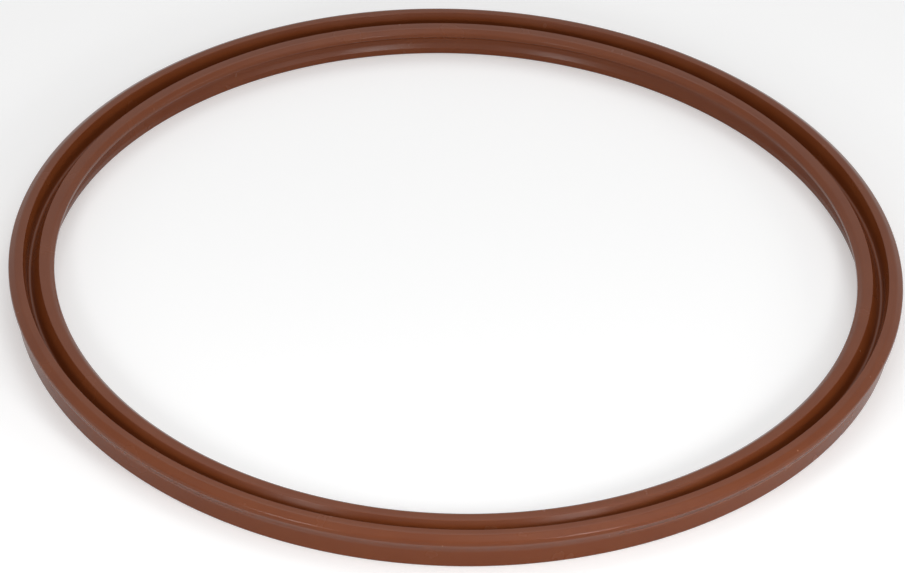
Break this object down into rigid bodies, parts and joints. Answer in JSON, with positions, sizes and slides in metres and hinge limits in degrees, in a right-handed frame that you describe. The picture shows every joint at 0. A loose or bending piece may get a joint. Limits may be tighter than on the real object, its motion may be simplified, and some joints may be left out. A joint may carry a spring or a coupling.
{
  "type": "gearbox seal",
  "caption": "Moulded rubber ring of U-shaped section, with an inner and an outer sealing lip and an annular groove between them, for a shaft or piston in a gearbox housing.",
  "frame": {"origin": "centre of the ring on the heel's flat face, which it stands on", "axes": "+Z along the ring's axis, from the heel towards the lips; the ring is round, so X and Y are free"},
  "size_m": [0.2, 0.2, 0.0087],
  "materials": {
    "rubber": "moulded, satin brown"
  },
  "bodies": {
    "root": {"seal_ring": "rubber"}
  },
  "joints": []
}
